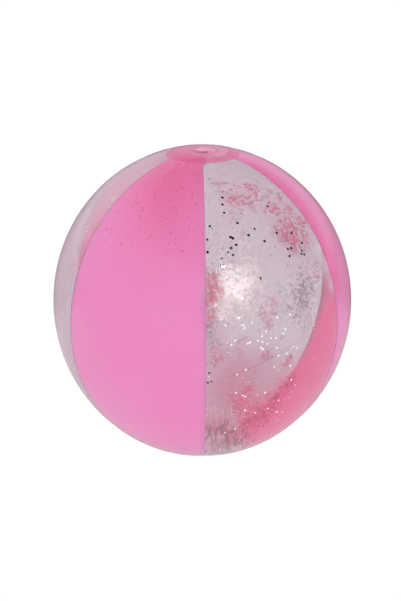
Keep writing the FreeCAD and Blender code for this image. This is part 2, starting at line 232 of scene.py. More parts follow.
def dust_clumps(dust, seed):
    """The clumps of one dust: those placed by eye, even frost, and seeded random patches."""
    rng = np.random.default_rng(seed)
    clumps = list(FRONT_DUST[dust])
    if dust == "dust_frost":
        clumps += [(place, height, FROST_SIZE, FROST_STRENGTH)
                   for place in FROST_LONGITUDES for height in FROST_LATITUDES]
    for _ in range(PATCHES.get(dust, 0)):
        place = rng.uniform(*PATCH_LONGITUDES)
        height = math.degrees(math.asin(rng.uniform(-PATCH_SINE, PATCH_SINE)))
        for _ in range(PATCH_CLUMPS):
            clumps.append((np.clip(place + rng.normal(0.0, PATCH_SPREAD), *CLUMP_LONGITUDES),
                           height + rng.normal(0.0, PATCH_SPREAD), rng.uniform(*PATCH_SIZES),
                           rng.uniform(*PATCH_STRENGTHS)))
    return clumps


def clump_amount(clumps, longitude, latitude):
    """How much dust lies at each place, from 0 to 1, for angles in degrees."""
    clear = np.ones_like(longitude)
    for place, height, size, strength in clumps:
        across = ((longitude - place + 180.0) % 360.0 - 180.0) * np.cos(np.radians(latitude))
        gap = across ** 2 + (latitude - height) ** 2
        clear = clear * (1.0 - strength * np.exp(-gap / (CLUMP_REACH * size) ** 2))
    return 1.0 - clear


def cap_marks(seed):
    """Flecks round the middle of both caps."""
    rng = np.random.default_rng(seed)
    return [(360.0 * number / CAP_MARKS, side * rng.uniform(*CAP_MARK_LATITUDES),
             rng.uniform(*CAP_MARK_SIZES), rng.uniform(*CAP_MARK_STRENGTHS))
            for side in (-1.0, 1.0) for number in range(CAP_MARKS)]


def add_dust(piece, longitude, polar, pink, cap=False):
    """Mark the inner face of a film shell and the dust on it, and the outer face's warm tone, in the mesh's
    attributes. A pink piece has only the pink dusts, and a cap has its flecks as well."""
    none = np.zeros(longitude.size)
    turn = np.degrees(longitude).ravel()
    latitude = 90.0 - np.degrees(polar).ravel()
    layers = {"inside": np.ones(longitude.size)}
    for seed, dust in enumerate(FRONT_DUST):
        shown = dust in PINK_DUSTS or not pink
        layers[dust] = clump_amount(dust_clumps(dust, seed), turn, latitude) * float(shown)
    if cap:
        layers["dust_grey"] = clump_amount(cap_marks(len(FRONT_DUST)), turn, latitude)
    values = {layer: np.concatenate([none, amount]) for layer, amount in layers.items()}
    values["warm"] = np.concatenate([clump_amount(WARM_CLUMPS, turn, latitude) * float(pink), none])
    for layer, value in values.items():
        attribute = piece.data.attributes.new(layer, "FLOAT", "POINT")
        attribute.data.foreach_set("value", value)
    return piece


# ---- shapes ----

GORE_ROWS = 190
GORE_COLUMNS = 78
LAP_REACH = np.array([0.1, 0.22, 0.44, 0.72, 1.0]) * LAP_WIDTH  # columns of the lap, and their depths
LAP_DEPTH = np.array([0.55, 1.0, 1.0, 1.0, 1.0]) * (FILM + WELD_GAP)
CAP_COLUMNS = 180
CAP_STEP = 1.2 * MM  # width over which the cap steps down inside the gores' tips
CAP_SINK = 0.9 * FILM
CAP_LIP = 0.5 * MM
RING_HEIGHT = 0.10 * MM  # the groove that the welding tool leaves near the cap's edge
RING_INSET = 3.0 * MM
RING_WIDTH = 1.1 * MM
ROUND_SEGMENTS = 72
WIDE_SEGMENTS = 96
STRAP_CORNERS = 8
STRAP_SQUARENESS = 0.4
SHARP_ANGLE = 40.0
BEVEL_SEGMENTS = 3


def wave(longitude, count, seed):
    """Uneven ripples round the ball: sines of nearby counts, between -1 and 1. Longitude in radians."""
    rng = np.random.default_rng(seed)
    total = np.zeros_like(longitude)
    weights = 0.0
    for offset in WAVE_OFFSETS:
        weight = rng.uniform(0.5, 1.0)
        total = total + weight * np.sin((count + offset) * longitude + rng.uniform(0.0, 2.0 * math.pi))
        weights += weight
    return total / weights


def film_offset(longitude, polar):
    """How far the film stands out from the plain ellipsoid at each point."""
    radius = EQUATOR * np.sin(polar)
    side = np.clip(radius / EQUATOR, 0.0, 1.0)
    span = math.radians(GORE_SPAN)
    near = radius * np.abs((longitude + span / 2.0) % span - span / 2.0)  # to the nearest seam
    swell = -GORE_SWELL * np.cos(len(GORES) * longitude) * side ** SWELL_POWER
    opened = np.clip((radius - SEAM_DIP_FROM) / (SEAM_DIP_FULL - SEAM_DIP_FROM), 0.0, 1.0)
    dip = -SEAM_DIP * np.exp(-(near / SEAM_DIP_WIDTH) ** 2) * opened
    ripple = wave(polar + SEAM_PHASE * np.round(longitude / span), PUCKER_COUNT, PUCKER_SEED)
    pucker = PUCKER * ripple * np.exp(-near / PUCKER_REACH) * side
    share = np.where(radius > CAP_RADIUS, 1.0, CAP_PUCKER_INSIDE) * np.clip(radius / POLE_HOLE, 0.0, 1.0)
    cap_ripple = wave(longitude, CAP_PUCKER_COUNT, CAP_PUCKER_SEED)
    cap_pucker = CAP_PUCKER * cap_ripple * share * np.exp(-np.abs(radius - CAP_RADIUS) / CAP_PUCKER_REACH)
    return swell + dip + pucker + cap_pucker


def film_points(longitude, polar, inset, floor=None):
    """Points of the film a given depth inside its outer face, as an array of xyz."""
    out = film_offset(longitude, polar) - inset
    radius = (EQUATOR + out) * np.sin(polar)
    height = CENTRE + (POLE + out) * np.cos(polar)
    if floor is not None:
        height = np.maximum(height, floor)
    turn = longitude - math.pi / 2.0
    return np.stack([radius * np.cos(turn), radius * np.sin(turn), height], axis=-1)


def polar_at(radius, upper=True):
    """The polar angle at a distance from the axis."""
    angle = np.arcsin(np.clip(np.asarray(radius) / EQUATOR, 0.0, 1.0))
    return angle if upper else math.pi - angle


def new_object(name, vertices, faces, smooth=True):
    """A mesh object from vertices and faces."""
    mesh = bpy.data.meshes.new(name)
    mesh.from_pydata([tuple(v) for v in vertices], [], faces)
    mesh.validate()
    mesh.update()
    if smooth:
        mesh.shade_smooth()
    made = bpy.data.objects.new(name, mesh)
    bpy.context.scene.collection.objects.link(made)
    return made


def shell(name, outer, inner, wrap=False, pole=False):
    """A closed thin shell between two grids of points. wrap joins the last column to the first. pole says
    that the last row is a single place, which then needs no wall."""
    rows, columns = outer.shape[:2]
    vertices = np.concatenate([outer.reshape(-1, 3), inner.reshape(-1, 3)])
    half = rows * columns
    faces = []
    last = columns if wrap else columns - 1
    for row in range(rows - 1):
        for column in range(last):
            beside = (column + 1) % columns
            a, b = row * columns + column, row * columns + beside
            c, d = (row + 1) * columns + beside, (row + 1) * columns + column
            faces.append((a, d, c, b))
            faces.append((half + a, half + b, half + c, half + d))
    base = (rows - 1) * columns
    for column in range(last):
        beside = (column + 1) % columns
        faces.append((column, beside, half + beside, half + column))
        if not pole:
            faces.append((base + beside, base + column, half + base + column, half + base + beside))
    if not wrap:
        for row in range(rows - 1):
            here, below = row * columns, (row + 1) * columns
            faces.append((below, here, half + here, half + below))
            here, below = here + columns - 1, below + columns - 1
            faces.append((here, below, half + below, half + here))
    return new_object(name, vertices, faces)


def gore_film(name, start_longitude, lapped):
    """One gore: a sheet from seam to seam. A lapped gore steps down under both neighbours for the weld."""
    polar = np.linspace(float(polar_at(POLE_HOLE)), float(polar_at(POLE_HOLE, False)), GORE_ROWS)
    across = math.radians(start_longitude) + np.linspace(0.0, math.radians(GORE_SPAN), GORE_COLUMNS)
    longitude = np.tile(across, (GORE_ROWS, 1))
    depth = np.zeros(GORE_COLUMNS)
    if lapped:
        margin = LAP_REACH[None, :] / (EQUATOR * np.sin(polar))[:, None]
        longitude = np.concatenate([across[0] - margin[:, ::-1], longitude, across[-1] + margin], axis=1)
        depth = np.concatenate([LAP_DEPTH[::-1], depth, LAP_DEPTH])
    depth = np.tile(depth, (GORE_ROWS, 1))
    polar_grid = np.tile(polar[:, None], (1, longitude.shape[1]))
    outer = film_points(longitude, polar_grid, depth)
    inner = film_points(longitude, polar_grid, depth + FILM)
    return add_dust(shell(name, outer, inner), longitude, polar_grid, not lapped)


def cap_film(name, upper):
    """A polar cap over the gores' tips. Its middle, where there is one layer, lies a little lower."""
    radii = np.concatenate([
        np.linspace(VALVE_HOLE if upper else 0.0, POLE_HOLE - CAP_STEP, 16),
        np.linspace(POLE_HOLE - CAP_STEP / 2.0, POLE_HOLE + CAP_STEP, 5),
        np.linspace(POLE_HOLE + 2.0 * CAP_STEP, CAP_RADIUS - CAP_LIP, 12),
        [CAP_RADIUS],
    ])
    longitude = np.linspace(0.0, 2.0 * math.pi, CAP_COLUMNS, endpoint=False)
    longitude, polar = np.meshgrid(longitude, polar_at(radii, upper))
    radius = np.tile(radii[:, None], (1, CAP_COLUMNS))
    inside = np.clip((POLE_HOLE - radius) / CAP_STEP + 0.5, 0.0, 1.0)
    groove = RING_HEIGHT * np.exp(-((radius - (CAP_RADIUS - RING_INSET)) / RING_WIDTH) ** 2)
    depth = -(FILM + WELD_GAP) + inside * CAP_SINK + groove
    outer = film_points(longitude, polar, depth, None if upper else 0.0)
    inner = film_points(longitude, polar, depth + FILM, None if upper else FILM)
    if upper:
        return add_dust(shell(name, outer, inner, wrap=True), longitude, polar, True, cap=True)
    made = shell(name, outer[::-1], inner[::-1], wrap=True, pole=True)
    add_dust(made, longitude[::-1], polar[::-1], True, cap=True)
    join_pole(made)
    return made


def join_pole(piece):
    """Join the points that lie at one place, at the middle of the bottom cap."""
    work = bmesh.new()
    work.from_mesh(piece.data)
    bmesh.ops.remove_doubles(work, verts=work.verts, dist=0.001 * MM)
    work.to_mesh(piece.data)
    work.free()


def spun(outline, segments):
    """The (radius, height) points of an outline, repeated step by step about the polar axis."""
    points = []
    for step in range(segments):
        turn = 2.0 * math.pi * step / segments
        points += [(radius * math.cos(turn), radius * math.sin(turn), height) for radius, height in outline]
    return points


def quads(count, here, there):
    """Faces between two rings of count points, which start at these numbers."""
    return [(here + (index + 1) % count, here + index, there + index, there + (index + 1) % count)
            for index in range(count)]


def lathe(name, outline, segments=ROUND_SEGMENTS, bevel=0.0):
    """A solid of revolution about the polar axis from a closed outline of (radius, height) points."""
    count = len(outline)
    faces = []
    for step in range(segments):
        faces += quads(count, step * count, (step + 1) % segments * count)
    return soften(new_object(name, spun(outline, segments), faces), bevel)


def turned(name, outline, segments=ROUND_SEGMENTS, bevel=0.0):
    """A solid of revolution whose outline starts and ends on the polar axis."""
    count = len(outline) - 2
    vertices = [(0.0, 0.0, outline[0][1]), (0.0, 0.0, outline[-1][1])] + spun(outline[1:-1], segments)
    faces = []
    for step in range(segments):
        here, there = 2 + step * count, 2 + (step + 1) % segments * count
        faces.append((0, here, there))
        faces.append((1, there + count - 1, here + count - 1))
        for index in range(count - 1):
            faces.append((here + index, here + index + 1, there + index + 1, there + index))
    return soften(new_object(name, vertices, faces), bevel)


def plate(name, outline, low, high, bevel):
    """A flat plate with an outline of (x, y) points, anticlockwise from above."""
    count = len(outline)
    vertices = [(x, y, low) for x, y in outline] + [(x, y, high) for x, y in outline]
    faces = [tuple(reversed(range(count))), tuple(range(count, 2 * count))] + quads(count, count, 0)
    return soften(new_object(name, vertices, faces), bevel)


def squared(value):
    """Push a sine or cosine towards 1 or -1, which turns a circle into a rounded square."""
    return math.copysign(abs(value) ** STRAP_SQUARENESS, value)


def strap(name, path, width, thickness):
    """A flat strap whose middle follows (x, z) points in the XZ plane, with rounded long edges."""
    section = []
    for step in range(STRAP_CORNERS):
        angle = (0.5 + step) * 2.0 * math.pi / STRAP_CORNERS
        section.append((squared(math.cos(angle)) * thickness / 2.0, squared(math.sin(angle)) * width / 2.0))
    vertices = []
    for index, (x, z) in enumerate(path):
        before, after = path[max(index - 1, 0)], path[min(index + 1, len(path) - 1)]
        along = Vector((after[0] - before[0], 0.0, after[1] - before[1])).normalized()
        across = Vector((-along.z, 0.0, along.x))
        for out, side in section:
            vertices.append((x + across.x * out, side, z + across.z * out))
    count = len(section)
    faces = [tuple(range(count)), tuple(reversed(range(len(vertices) - count, len(vertices))))]
    for row in range(len(path) - 1):
        faces += quads(count, row * count, (row + 1) * count)
    return new_object(name, vertices, faces)


def arc(centre, radius, start, end, steps):
    """Points of a circle's arc between two angles in degrees."""
    angles = [math.radians(start + (end - start) * step / steps) for step in range(steps + 1)]
    return [(centre[0] + radius * math.cos(angle), centre[1] + radius * math.sin(angle)) for angle in angles]


def soften(piece, bevel):
    """Round the sharp edges of a piece, by a bevel of this width."""
    piece.data.set_sharp_from_angle(angle=math.radians(SHARP_ANGLE))
    if bevel:
        rounding = piece.modifiers.new("soft_edges", "BEVEL")
        rounding.width = bevel
        rounding.segments = BEVEL_SEGMENTS
        rounding.limit_method = "ANGLE"
        rounding.harden_normals = True
    return piece


# ---- materials ----

WHITE = (1.0, 1.0, 1.0)
EVEN = (1.0, 1.0, 1.0)  # no stretch of a noise


class Nodes:
    """A short way to build the node tree of a material or a world."""

    def __init__(self, holder, output="ShaderNodeOutputMaterial"):
        holder.use_nodes = True
        self.holder = holder
        self.tree = holder.node_tree
        self.tree.nodes.clear()
        self.output = self.add(output)

    def add(self, kind, inputs=None, **settings):
        """A node with its settings. Each input, by its name or number, takes a link or a constant."""
        node = self.tree.nodes.new(kind)
        for key, value in settings.items():
            setattr(node, key, value)
        for key, value in (inputs or {}).items():
            socket = node.inputs[key]
            if isinstance(value, bpy.types.NodeSocket):
                self.tree.links.new(value, socket)
            elif socket.type == "RGBA":
                socket.default_value = (*value, 1.0)
            else:
                socket.default_value = value
        return node

    def position(self):
        """Object position: the same as the ball's own frame, because every piece's place is in its mesh."""
        return self.add("ShaderNodeTexCoord").outputs["Object"]

    def noise(self, scale, detail=3.0, roughness=0.55, stretch=EVEN):
        """Noise, whose features grow longer along the axes that stretch makes smaller."""
        place = self.add("ShaderNodeVectorMath", {0: self.position(), 1: stretch}, operation="MULTIPLY")
        return self.add("ShaderNodeTexNoise", {"Vector": place.outputs[0], "Scale": scale, "Detail": detail,
                                               "Roughness": roughness}).outputs["Fac"]

    def ramp(self, factor, stops):
        """A colour ramp through two (position, colour) stops."""
        node = self.add("ShaderNodeValToRGB", {"Fac": factor})
        for element, (place, colour) in zip(node.color_ramp.elements, stops):
            element.position = place
            element.color = (*colour, 1.0)
        return node.outputs["Color"]

    def remap(self, value, low, high, to_low, to_high, curve="LINEAR"):
        """A value carried from one range to another, and held at the ends."""
        return self.add("ShaderNodeMapRange", {"Value": value, "From Min": low, "From Max": high,
                                               "To Min": to_low, "To Max": to_high},
                        interpolation_type=curve).outputs["Result"]

    def bump(self, height, strength, distance):
        return self.add("ShaderNodeBump", {"Height": height, "Strength": strength,
                                           "Distance": distance}).outputs["Normal"]

    def attribute(self, name):
        """A value stored on the mesh's points."""
        return self.add("ShaderNodeAttribute", attribute_name=name).outputs["Fac"]

    def math(self, operation, first, second=0.0):
        """One step of arithmetic."""
        return self.add("ShaderNodeMath", {0: first, 1: second}, operation=operation).outputs[0]

    def dot(self, vector, fixed):
        """The part of a vector that lies along a fixed one."""
        node = self.add("ShaderNodeVectorMath", {0: vector, 1: fixed}, operation="DOT_PRODUCT")
        return node.outputs["Value"]

    def part(self, vector, axis):
        """One coordinate of a vector."""
        return self.add("ShaderNodeSeparateXYZ", {0: vector}).outputs[axis]

    def mirrored(self):
        """1 where the surface or the sky is seen as a reflection."""
        return self.add("ShaderNodeLightPath").outputs["Is Glossy Ray"]

    def mix_colour(self, factor, low, high):
        return self.add("ShaderNodeMix", {0: factor, 6: low, 7: high}, data_type="RGBA").outputs[2]

    def mix_value(self, factor, low, high):
        return self.add("ShaderNodeMix", {0: factor, 2: low, 3: high}, data_type="FLOAT").outputs[0]

    def mix_shader(self, factor, low, high):
        return self.add("ShaderNodeMixShader", {0: factor, 1: low.outputs[0], 2: high.outputs[0]})

    def grazing(self, low, high, power=3.0):
        """A value that rises from low, seen square on, to high at a grazing angle."""
        facing = self.add("ShaderNodeLayerWeight", {"Blend": 0.5}).outputs["Facing"]
        return self.remap(self.math("POWER", facing, power), 0.0, 1.0, low, high)

    def finish(self, shader):
        self.tree.links.new(shader.outputs[0], self.output.inputs["Surface"])
        return self.holder


BROAD_SCALE = 9.0  # slow changes of tone over the film
GLOW = 0.45  # share of the scattered light that comes through from behind
SPARKLE = (0.92, 0.88, 0.92)  # tiny bright grains in the inner coat
SPARKLE_SCALE = 620.0
WARM = (0.94, 0.24, 0.50)
RIM_SHEEN_AND_SHADE = (
    # painted sheen and painted shade at the outline. Each: tint that the film tends to where it is seen edge
    # on, its share there, how close to the edge it keeps
    # painted sheen: a pale tint that stands in for the bright floor's reflection
    ((0.63, 0.55, 0.63), 0.80, 4.2),
    # painted shade: a dark tint that stands in for a dark reflection along the outline
    ((0.28, 0.22, 0.27), 0.80, 11.0),
)
FACE_POWER = 4.0  # how close to the edge the outer face turns opaque
BLUSH = (0.60, 0.17, 0.31)  # soft dust without grain
BLUSH_TINT = 0.90
BLUSH_COVER = 0.75
COVERED = 0.92  # opacity of the film where dust covers it
# painted shade along the crease
CREASE_SHADE_TINT = (0.10, 0.06, 0.09)
CREASE_SHADE_SHARE = 0.48
CREASE_COVER = 0.55
FILM_WAVE_SCALE = 55.0  # small unevenness that only bends the gloss
FILM_WAVE = 0.12
FILM_WAVE_HEIGHT = 0.8 * MM

FLAKE_TINT_SCALE = 420.0
PVC_TINT_SCALE = 120.0
PVC_GRAIN_SCALE = 900.0
PVC_GRAIN = 0.15
PVC_GRAIN_HEIGHT = 0.2 * MM

FINE_GRAIN = 3.1  # scale of the finer part of the grain against the coarser
FINE_SHARE = 0.4
GRAIN_RANGE = (0.37, 0.61, 0.02, 1.0)  # the noise's own range, and the range it is spread over
TINT_SPREAD = (0.82, 1.20)  # how far a dust's tint wanders, as a share of it
TINT_SCALE = 0.7  # scale of that against the grain's
FIBRE = (1.0, 0.15, 0.15)  # the fibres near the bottom run down the gore
SMOOTH_DUSTS = ("dust_rose", "dust_frost")  # too fine to show any grain
DUST_LOOKS = {
    # dust: (tint, scale of its grain, how far it lifts a clump over the grain, how well it covers,
    #        how softly a clump ends)
    "dust_rose": ((0.90, 0.23, 0.44), 110.0, 1.1, 0.90, 0.75),
    "dust_frost": ((0.80, 0.78, 0.87), 330.0, 1.0, 0.66, 0.90),
    "fibre_pale": ((0.86, 0.70, 0.71), 300.0, 1.02, 0.60, 0.34),
    "fibre_pink": ((0.66, 0.20, 0.30), 300.0, 0.98, 0.62, 0.34),
    "fibre_dark": ((0.16, 0.10, 0.12), 260.0, 0.95, 0.62, 0.30),
    # gold dust, pale enough to serve as the painted highlight in the front clear gore's middle
    "dust_gold_and_glow": ((0.96, 1.00, 0.90), 210.0, 1.05, 0.88, 0.42),
    "dust_pink": ((0.66, 0.15, 0.26), 250.0, 0.98, 0.80, 0.26),
    "dust_grey": ((0.18, 0.12, 0.17), 260.0, 0.98, 0.66, 0.32),
}


def crease_line(n):
    """1 along the crease and 0 beside it. The crease lies in a plane through the ball's middle."""
    middle = Vector((0.0, 0.0, CENTRE))
    polar = np.radians(90.0 - np.array(CREASE_LATITUDES))
    first, second = [Vector(end) - middle for end in film_points(np.radians(CREASE_LONGITUDES), polar, 0.0)]
    normal = first.cross(second).normalized()
    beside = n.math("SUBTRACT", n.dot(n.position(), normal), normal.dot(middle))
    return n.remap(n.math("ABSOLUTE", beside), 0.0, CREASE_WIDTH, 1.0, 0.0)


def dust_surplus(n, dust, scale, gain):
    """How far a dust's amount rises over its grain."""
    surplus = n.math("MULTIPLY", n.attribute(dust), gain)
    if dust in SMOOTH_DUSTS:
        return surplus
    stretch = FIBRE if dust.startswith("fibre") else EVEN
    grain = n.mix_value(FINE_SHARE, n.noise(scale, roughness=0.6, stretch=stretch),
                        n.noise(FINE_GRAIN * scale, roughness=0.7, stretch=stretch))
    return n.math("SUBTRACT", surplus, n.remap(grain, *GRAIN_RANGE))


def dust_tint(n, dust, tint, scale):
    """A dust's tint, which wanders a little unless the dust is a smooth one."""
    if dust in SMOOTH_DUSTS:
        return tint
    low, high = [tuple(min(1.0, share * part) for part in tint) for share in TINT_SPREAD]
    return n.ramp(n.noise(TINT_SCALE * scale), ((0.38, low), (0.62, high)))


def film_material(name, face, coat, face_opacity, coat_opacity, edge_opacity, roughness=0.16, sparkling=0.0):
    """Thin PVC film: a glossy outer face, and an inner face that is coated with fine glitter dust. Part of
    the light goes straight through, and part is scattered back. face and coat are pairs of tones."""
    n = Nodes(bpy.data.materials.new(name))
    inside = n.attribute("inside")
    broad = n.noise(BROAD_SCALE, detail=4.0)
    tones = [n.ramp(broad, ((0.35, pair[0]), (0.65, pair[1]))) for pair in (face, coat)]
    colour = n.mix_colour(inside, *tones)
    grains = n.remap(n.noise(SPARKLE_SCALE, detail=2.0, roughness=0.7), 0.50, 0.70, 0.0, sparkling)
    colour = n.mix_colour(n.math("MULTIPLY", grains, inside), colour, SPARKLE)
    colour = n.mix_colour(n.attribute("warm"), colour, WARM)
    # painted sheen and painted shade, mixed in towards the outline
    for tint, share, power in RIM_SHEEN_AND_SHADE:
        colour = n.mix_colour(n.grazing(0.0, share, power), colour, tint)
    blush = n.attribute("blush")
    colour = n.mix_colour(n.math("MULTIPLY", blush, BLUSH_TINT), colour, BLUSH)
    opaque = n.mix_value(inside, n.grazing(face_opacity, edge_opacity, FACE_POWER),
                         n.grazing(coat_opacity, 1.0))
    opaque = n.mix_value(n.math("MULTIPLY", blush, BLUSH_COVER), opaque, COVERED)
    for dust, (tint, scale, gain, covers, edge) in DUST_LOOKS.items():
        cover = n.remap(dust_surplus(n, dust, scale, gain), 0.0, edge, 0.0, covers)
        colour = n.mix_colour(cover, colour, dust_tint(n, dust, tint, scale))
        opaque = n.mix_value(cover, opaque, COVERED)
    # painted shade along the crease, which also makes the film less see-through there
    crease = n.math("MULTIPLY", crease_line(n), n.attribute("crease"))
    colour = n.mix_colour(n.math("MULTIPLY", crease, CREASE_SHADE_SHARE), colour, CREASE_SHADE_TINT)
    opaque = n.mix_value(n.math("MULTIPLY", crease, CREASE_COVER), opaque, COVERED)

    normal = n.bump(n.noise(FILM_WAVE_SCALE, detail=2.0), FILM_WAVE, FILM_WAVE_HEIGHT)
    surface = n.add("ShaderNodeBsdfPrincipled", {"Base Color": colour, "Normal": normal,
                                                 "Roughness": roughness, "IOR": 1.5})
    scattered = n.mix_shader(GLOW, surface, n.add("ShaderNodeBsdfTranslucent", {"Color": colour}))
    return n.finish(n.mix_shader(opaque, n.add("ShaderNodeBsdfTransparent"), scattered))


def flake_material(name, low, high, roughness, metallic=1.0):
    """Flakes whose tint wanders from flake to flake."""
    n = Nodes(bpy.data.materials.new(name))
    colour = n.ramp(n.noise(FLAKE_TINT_SCALE, detail=1.0), ((0.35, low), (0.65, high)))
    return n.finish(n.add("ShaderNodeBsdfPrincipled", {"Base Color": colour, "Roughness": roughness,
                                                       "Metallic": metallic}))


def valve_material(name, low, high, opacity):
    """Soft moulded PVC, a little milky."""
    n = Nodes(bpy.data.materials.new(name))
    colour = n.ramp(n.noise(PVC_TINT_SCALE, detail=4.0), ((0.3, low), (0.7, high)))
    normal = n.bump(n.noise(PVC_GRAIN_SCALE), PVC_GRAIN, PVC_GRAIN_HEIGHT)
    return n.finish(n.add("ShaderNodeBsdfPrincipled", {"Base Color": colour, "Normal": normal,
                                                       "Roughness": 0.36, "IOR": 1.48, "Alpha": opacity}))


# ---- film ----

PINK = film_material("pink_film", face=((0.96, 0.50, 0.93), (0.97, 0.53, 0.97)),
                     coat=((0.97, 0.05, 0.27), (0.99, 0.08, 0.33)),
                     face_opacity=0.76, coat_opacity=0.86, edge_opacity=0.92)
CLEAR = film_material("clear_film", face=((0.74, 0.68, 0.76), (0.78, 0.72, 0.80)),
                      coat=((0.47, 0.43, 0.51), (0.55, 0.51, 0.59)),
                      face_opacity=0.008, coat_opacity=0.43, edge_opacity=0.50,
                      roughness=0.10, sparkling=0.45)
CAP = film_material("cap_film", face=((0.98, 0.31, 0.63), (0.99, 0.35, 0.67)),
                    coat=((0.98, 0.25, 0.53), (0.99, 0.29, 0.57)),
                    face_opacity=0.36, coat_opacity=0.42, edge_opacity=0.70)


def dress(piece, material, slot, body, *nodes):
    """Give a piece its material, the body it rides on and the CAD nodes it stands for. slot is not used."""
    piece.data.materials.append(material)
    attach(piece, body)
    if nodes:
        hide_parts(*nodes)


def build_film():
    """The six gores and the two polar caps."""
    for node, start, pink in GORES:
        made = gore_film(node + "_film", start, not pink)
        dress(made, PINK if pink else CLEAR, "pink_film" if pink else "clear_film", "ball", node)
    dress(cap_film("top_cap_film", True), CAP, "cap_film", "ball", "top_cap")
    dress(cap_film("bottom_cap_film", False), CAP, "cap_film", "ball", "bottom_cap")


# ---- valve ----

PLUG = valve_material("plug_pvc", (0.90, 0.42, 0.62), (0.96, 0.48, 0.68), 0.75)
VALVE = valve_material("valve_pvc", (0.88, 0.42, 0.60), (0.94, 0.49, 0.67), 0.60)

FLANGE_TOP = CENTRE + POLE * math.sqrt(1.0 - (VALVE_HOLE / EQUATOR) ** 2) - 0.05 * MM
FLANGE_EDGE = CENTRE + POLE * math.sqrt(1.0 - (FLANGE_RADIUS / EQUATOR) ** 2) - 0.6 * MM
FLANGE_THICK = 0.55 * MM
FLANGE_EDGE_THICK = 0.50 * MM
COLLAR_TOP = FLANGE_TOP - 0.3 * MM
COLLAR_FOOT = 5.6 * MM  # radius where the collar meets the stem's bead
COLLAR_STEPS = 12
COLLAR_BOW = 0.55 * MM
COLLAR_HALF = 0.18 * MM  # half its thickness
BEAD_HEIGHT = RIM - 7.5 * MM
BEAD_HALF = 0.7 * MM
BEAD_RADIUS = 6.1 * MM
STEM_RADIUS = 5.5 * MM
STEM_BORE = 3.5 * MM
MOUTH_RADIUS = 4.0 * MM  # the bore's wider end, where the nozzle goes in
MOUTH_DEPTH = 6.0 * MM
RIM_RADIUS = 6.3 * MM
RIM_THICK = 1.2 * MM
HEAD_THICK = 1.4 * MM
HEAD_DISH = 0.35 * MM  # how deep the middle of the plug's head lies
HEAD_CHAMFER = 0.4 * MM
PIN_ROOT = 3.65 * MM  # radii of the plug's tapered pin
PIN_NECK = 3.10 * MM
PIN_TIP = 2.60 * MM
PIN_NOSE = 0.5 * MM
PULL_TAB_WIDTH = 5.0 * MM
PULL_TAB_THICK = 0.85 * MM
RIB_COUNT = 3
RIB_PITCH = 0.8 * MM
RIB_WIDTH = 0.35 * MM
LUG_HALF = 1.5 * MM
TETHER_THICKNESS = 0.5 * MM
TETHER_GAP = 0.05 * MM


def build_flange_and_collar():
    """Ring welded under the cap, and the thin cone that carries the stem."""
    flange = lathe("valve_flange_ring", [
        (VALVE_HOLE, FLANGE_TOP), (VALVE_HOLE, FLANGE_TOP - FLANGE_THICK),
        (FLANGE_RADIUS, FLANGE_EDGE), (FLANGE_RADIUS, FLANGE_EDGE + FLANGE_EDGE_THICK)],
        WIDE_SEGMENTS, 0.12 * MM)
    dress(flange, VALVE, "valve_pvc", "ball", "valve_flange")

    middle = []
    for step in range(COLLAR_STEPS + 1):
        share = step / COLLAR_STEPS
        bow = math.sin(math.pi * share) * COLLAR_BOW
        middle.append((VALVE_HOLE + (COLLAR_FOOT - VALVE_HOLE) * share,
                       COLLAR_TOP + (BEAD_HEIGHT - COLLAR_TOP) * share - bow))
    upper = [(radius, height + COLLAR_HALF) for radius, height in middle]
    lower = [(radius, height - COLLAR_HALF) for radius, height in middle]
    collar = lathe("valve_collar_membrane", upper + lower[::-1], WIDE_SEGMENTS)
    collar.data.materials.append(VALVE)
    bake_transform(collar)
    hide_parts("valve_collar")


def build_stem():
    """Short tube with a wider mouth, a bead where the collar holds it, and a rim."""
    base = STEM_LOW.z
    stem = lathe("valve_stem_tube", [
        (MOUTH_RADIUS, RIM - MOUTH_DEPTH), (STEM_BORE, RIM - MOUTH_DEPTH), (STEM_BORE, base),
        (STEM_RADIUS, base), (STEM_RADIUS, BEAD_HEIGHT - BEAD_HALF), (BEAD_RADIUS, BEAD_HEIGHT - BEAD_HALF),
        (BEAD_RADIUS, BEAD_HEIGHT + BEAD_HALF), (STEM_RADIUS, BEAD_HEIGHT + BEAD_HALF),
        (STEM_RADIUS, RIM - RIM_THICK), (RIM_RADIUS, RIM - RIM_THICK), (RIM_RADIUS, RIM),
        (MOUTH_RADIUS, RIM)], bevel=0.2 * MM)
    dress(stem, VALVE, "valve_pvc", "stem", "valve_stem")


def build_plug():
    """Domed head with a shallow ring in its top, a tapered pin below and a ribbed finger tab."""
    head, top, tip = PLUG_HIGH.x, PLUG_HIGH.z, PLUG_LOW.z
    under = top - HEAD_THICK
    body = turned("valve_plug_body", [
        (0.0, top - HEAD_DISH), (0.46 * head, top - HEAD_DISH), (0.52 * head, top), (0.84 * head, top),
        (head, top - HEAD_CHAMFER), (head, under), (PIN_ROOT, under), (PIN_NECK, tip + PIN_NOSE),
        (PIN_TIP, tip), (0.0, tip)], bevel=0.12 * MM)
    dress(body, PLUG, "valve_pvc", "plug", "valve_plug")
    reach, half = PLUG_LOW.x, PULL_TAB_WIDTH / 2.0
    outline = arc((reach + half, 0.0), half, 90.0, 270.0, 20) + [(-0.8 * head, -half), (-0.8 * head, half)]
    tab_top = top - 0.05 * MM
    tab = plate("valve_plug_tab", outline, tab_top - PULL_TAB_THICK, tab_top, 0.18 * MM)
    dress(tab, PLUG, "valve_pvc", "plug")
    length = 0.6 * half
    for number in range(RIB_COUNT):
        place = reach + 0.9 * MM + RIB_PITCH * number
        rib = plate("valve_plug_rib_%d" % number, [
            (place, -length), (place + RIB_WIDTH, -length), (place + RIB_WIDTH, length), (place, length)],
            top - 0.3 * MM, top + 0.15 * MM, 0.1 * MM)
        dress(rib, PLUG, "valve_pvc", "plug")


